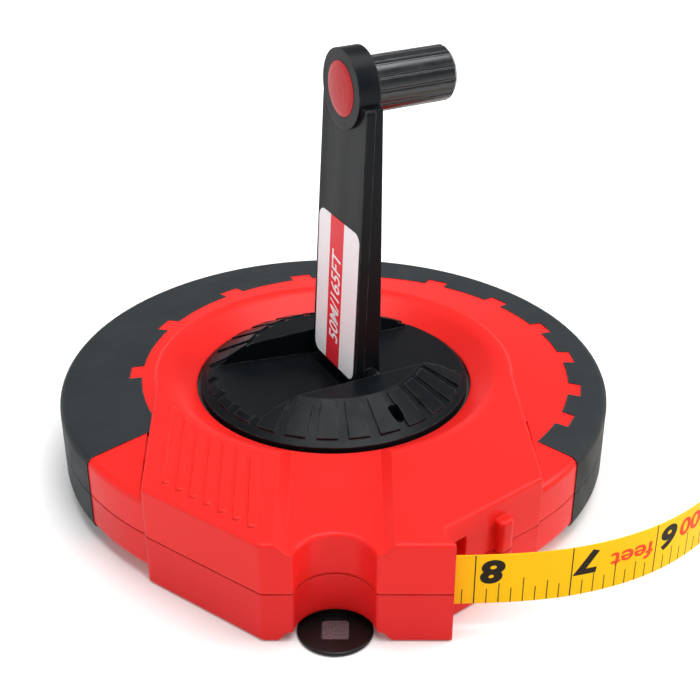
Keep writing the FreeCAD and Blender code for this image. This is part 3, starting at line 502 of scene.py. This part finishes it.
class Line:
    """A plan line with a length, a point and a sideways direction at any distance along it."""

    def __init__(self, points):
        self.points = points
        self.distance = [0.0]
        for a, b in zip(points, points[1:]):
            self.distance.append(self.distance[-1] + (b - a).length)
        self.length = self.distance[-1]

    def at(self, s):
        s = min(max(s, 0.0), self.length)
        index = 0
        while index < len(self.points) - 2 and self.distance[index + 1] < s:
            index += 1
        a, b = self.points[index], self.points[index + 1]
        share = (s - self.distance[index]) / max(self.distance[index + 1] - self.distance[index], 1e-9)
        return a.lerp(b, share), self.side(index, share)

    def side(self, index, share):
        """Right-hand normal, turned smoothly from one run to the next."""
        before = self.run(index - 1)
        here = self.run(index)
        after = self.run(index + 1)
        start = (before + here).normalized()
        end = (here + after).normalized()
        way = start.lerp(end, share).normalized()
        return Vector((way.y, -way.x, 0))

    def run(self, index):
        index = min(max(index, 0), len(self.points) - 2)
        return (self.points[index + 1] - self.points[index]).normalized()


def make_blade(line):
    """The band on edge: two faces and softly rounded edges."""
    half = TAPE_THICKNESS / 2
    high = TAPE_WIDTH / 2
    soft = BLADE_EDGE
    section = [(half, -high + soft)]
    section += [(half, high * k / 4) for k in (-3, -2, -1, 0, 1, 2, 3)]
    section += [(half, high - soft), (half - soft, high), (-half + soft, high), (-half, high - soft)]
    section += [(-half, high * k / 4) for k in (3, 2, 1, 0, -1, -2, -3)]
    section += [(-half, -high + soft), (-half + soft, -high), (half - soft, -high)]
    bm = bmesh.new()
    rings = []
    for index in range(BLADE_STEPS + 1):
        point, side = line.at(line.length * index / BLADE_STEPS)
        rings.append([bm.verts.new(point + side * x + Vector((0, 0, z))) for x, z in section])
    size = len(section)
    for a, b in zip(rings, rings[1:]):
        for k in range(size):
            bm.faces.new([a[k], a[(k + 1) % size], b[(k + 1) % size], b[k]])
    bm.faces.new(rings[0])
    bm.faces.new(list(reversed(rings[-1])))
    made = piece_from("blade", bm, [TAPE], "case")
    shade_smooth(made, 35.0)
    return made


def printed(line, face, s, z):
    """Where a drawing's point lands on a face: upside down on the outer one, upright on the inner."""

    def place(co):
        point, side = line.at(s - co.x)
        lift = TAPE_THICKNESS / 2 + INK_LIFT + co.z
        return point + side * face * lift + Vector((0, 0, z - TAPE_MIDDLE - face * co.y))

    return place


def inch_scale(line, black, red):
    """Feet-and-inch face, read from the other side, with the zero at the free end."""
    full = TAPE_WIDTH
    for number in range(8, 0, -1):
        s = ZERO_MARK - number * INCH
        add_mapped(black, bar(0.32 * MM, full * 0.985), printed(line, OUTER, s, TAPE_MIDDLE))
        digit = letters(str(number), 7.0 * MM, shear=0.12, bold=0.45 * MM, widen=1.2)
        add_mapped(black, digit, printed(line, OUTER, s + 4.9 * MM, TAPE_MIDDLE + 0.36 * full))
    for number in range(9, 0, -1):
        inch_ticks(line, black, ZERO_MARK - number * INCH)
    six = ZERO_MARK - 6 * INCH
    feet = letters("feet", 5.2 * MM, shear=0.05, bold=0.14 * MM, widen=1.2)
    add_mapped(red, feet, printed(line, OUTER, six - 7.6 * MM, TAPE_MIDDLE + 0.21 * full))
    zeros = letters("00", 5.4 * MM, shear=0.05, bold=0.22 * MM, widen=1.2)
    add_mapped(red, zeros, printed(line, OUTER, six + 13.4 * MM, TAPE_MIDDLE + 0.34 * full))


def inch_ticks(line, black, s):
    """Seven strokes after an inch line: longest at the half, shortest at the odd eighths."""
    for eighth in range(1, 8):
        spot = s + INCH * eighth / 8
        if spot < MOUTH_MARGIN or spot > line.length - CLIP_MARGIN:
            continue
        share = 0.5 if eighth == 4 else 0.4 if eighth % 2 == 0 else 0.3
        middle = TAPE_LOW + TAPE_WIDTH * share / 2 + EDGE_MARGIN
        add_mapped(black, bar(0.26 * MM, TAPE_WIDTH * share), printed(line, OUTER, spot, middle))


def metric_scale(line, black, red):
    """Centimetre face, on the inside of the bend; every tenth number is red."""
    for number in range(1, 21):
        s = ZERO_MARK - number * 10 * MM
        tenth = number % 10 == 0
        hang_stroke(line, black, s, 0.28 * MM, 0.98 if tenth else 0.42)
        half_way = s + 5 * MM
        if half_way < line.length - CLIP_MARGIN:
            hang_stroke(line, black, half_way, 0.2 * MM, 0.28)
        digits = letters(str(number), 5.0 * MM, bold=0.15 * MM)
        place = printed(line, INNER, s + 2.2 * MM, TAPE_LOW + 1.6 * MM)
        add_mapped(red if tenth else black, digits, place)


def hang_stroke(line, black, s, width, share):
    """A stroke down from the inner face's top edge, over a share of the blade's width."""
    tall = TAPE_WIDTH * share
    top = TAPE_HIGH - EDGE_MARGIN
    add_mapped(black, bar(width, tall), printed(line, INNER, s, top - tall / 2))


def make_tape():
    line = Line(blade_line())
    blade = make_blade(line)
    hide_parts("tape_blade")
    black = bmesh.new()
    red = bmesh.new()
    inch_scale(line, black, red)
    metric_scale(line, black, red)
    prints = [
        piece_from("scale_print_black", black, [BLACK_INK], "case"),
        piece_from("scale_print_red", red, [RED_INK], "case"),
    ]


# ------------------------------------------------------------------ arm label

# The crank's directions in plan, and the outer face's lean from the hinge upwards, as in the CAD model.
CRANK_TURN = math.radians(27.0)
ALONG = Vector((math.cos(CRANK_TURN), math.sin(CRANK_TURN), 0))
ACROSS = Vector((math.sin(CRANK_TURN), -math.cos(CRANK_TURN), 0))
HINGE_HEIGHT = 32.0 * MM
FACE_LEAN = 0.048
LABEL_HALF = 12.6 * MM
LABEL_THICKNESS = 0.14 * MM
# The red stripe's two edges, across the label.
STRIPE = (-LABEL_HALF + 7.4 * MM, -LABEL_HALF + 15.9 * MM)


def on_arm(height, across, out):
    """A point on the arm's outer face."""
    up = height - HINGE_HEIGHT
    return ALONG * (up * FACE_LEAN - out) + ACROSS * across + Vector((0, 0, height))


def make_label():
    """Film with rounded corners: white, red and white lengthwise, with the tape's length in white."""
    low, high = (corner.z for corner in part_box("arm_label"))
    bm = rounded_sheet((-LABEL_HALF, low), (LABEL_HALF, high), 3.0 * MM, LABEL_THICKNESS)
    for x in STRIPE:
        cut_across(bm, x)
    for face in bm.faces:
        face.material_index = 1 if STRIPE[0] < face.calc_center_median().x < STRIPE[1] else 0
    for v in bm.verts:
        v.co = on_arm(v.co.y, v.co.x, v.co.z)
    label = piece_from("label", bm, [WHITE_FILM, RED_FILM], "crank")
    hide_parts("arm_label")
    text = bmesh.new()
    letter_height = 5.6 * MM
    baseline = (STRIPE[0] + STRIPE[1]) / 2 + letter_height / 2
    middle = low + 21.2 * MM

    def place(co):
        return on_arm(middle + co.x, baseline - co.y, LABEL_THICKNESS + INK_LIFT + co.z)

    length = letters("50M/165FT", letter_height, shear=0.25, bold=0.1 * MM, widen=0.8)
    add_mapped(text, length, place)
    words = piece_from("label_length", text, [WHITE_FILM], "crank")


def make_rest_pad():
    """Thin mauve-grey sheet on the floor of the notch disc's slot, coloured as the floor in shade there:
    painted shade.
    """
    low = (-2.4 * MM, -90.2 * MM)
    high = (4.6 * MM, -82.6 * MM)
    slot_floor = 0.5 * MM
    bm = rounded_sheet(low, high, 1.2 * MM, 0.25 * MM)
    bmesh.ops.translate(bm, vec=(0, 0, slot_floor), verts=bm.verts)
    shade_piece = piece_from("rest_slot_shade", bm, [SLOT_SHADE], "case")


# ------------------------------------------------------------------ stage


def make_floor():
    """Pale floor just below the case, which glows faintly near it and more strongly away from it: painted
    light that turns it white and lights the case from below.
    """
    bpy.ops.mesh.primitive_plane_add(size=6.0, location=(0, 0, -0.05 * MM))
    floor = bpy.context.object
    floor.name = "floor"
    finish = Finish("floor", (0.90, 0.90, 0.90), 0.6, Specular_IOR_Level=0.1)
    finish.mottle(3.0, 0.01)
    # The floor's glow is painted light, weak under the case and strong away from it.
    finish.shader.inputs["Emission Color"].default_value = (1.0, 1.0, 1.0, 1.0)
    away = finish.node("ShaderNodeVectorMath", operation="LENGTH")
    finish.link(finish.coords, away.inputs[0])
    glow = finish.spread(away.outputs["Value"], 0.05, 0.75, 0.12, 0.7)
    finish.link(glow, finish.shader.inputs["Emission Strength"])
    floor.data.materials.append(finish.material)


def make_world():
    """White at the horizon and dimmer overhead, so that black parts keep their shading."""
    world = bpy.data.worlds.new("studio")
    world.use_nodes = True
    tree = world.node_tree
    background = tree.nodes["Background"]
    background.inputs["Color"].default_value = (1.0, 1.0, 1.0, 1.0)
    direction = tree.nodes.new("ShaderNodeTexCoord")
    parts = tree.nodes.new("ShaderNodeSeparateXYZ")
    fade = tree.nodes.new("ShaderNodeMapRange")
    fade.inputs["From Min"].default_value = 0.02
    fade.inputs["From Max"].default_value = 0.20
    fade.inputs["To Min"].default_value = 1.0
    fade.inputs["To Max"].default_value = 0.30
    tree.links.new(direction.outputs["Generated"], parts.inputs["Vector"])
    tree.links.new(parts.outputs["Z"], fade.inputs["Value"])
    tree.links.new(fade.outputs["Result"], background.inputs["Strength"])
    bpy.context.scene.world = world
    bpy.context.scene.view_settings.view_transform = "Standard"


def make_lights():
    """A large soft key from above, a small front light and two soft sides."""
    soft_light("key", spot=(0.10, 0.05, 1.0), aim_height=0.02, width=0.9, power=11.0)
    soft_light("front", spot=(0.25, -0.5, 0.8), aim_height=0.06, width=0.25, power=1.2)
    soft_light("left", spot=(-0.9, -0.35, 0.5), aim_height=0.03, width=0.6, power=1.5)
    soft_light("right", spot=(0.9, 0.0, 0.55), aim_height=0.03, width=0.4, power=4.0)


def soft_light(name, spot, aim_height, width, power):
    """A round area light that points at the reel's axis."""
    lamp = bpy.data.lights.new(name, "AREA")
    lamp.shape = "DISK"
    lamp.size = width
    lamp.energy = power
    made = bpy.data.objects.new(name, lamp)
    made.location = spot
    beam = Vector((0, 0, aim_height)) - Vector(spot)
    made.rotation_euler = beam.to_track_quat("-Z", "Y").to_euler()
    bpy.context.scene.collection.objects.link(made)


def make_camera():
    """The photograph's viewpoint: in front, looking down by about 32 degrees."""
    camera = bpy.data.cameras.new("camera")
    camera.lens = 70.1
    camera.sensor_width = 36.0
    camera.shift_y = 0.082
    camera.clip_start = 0.01
    made = bpy.data.objects.new("camera", camera)
    made.location = (0.00491, -0.3576, 0.2357)
    made.rotation_euler = (math.radians(58.38), 0, 0)
    bpy.context.scene.collection.objects.link(made)
    bpy.context.scene.camera = made


finish_cad_nodes()
make_tape()
make_label()
make_rest_pad()
make_floor()
make_world()
make_lights()
make_camera()
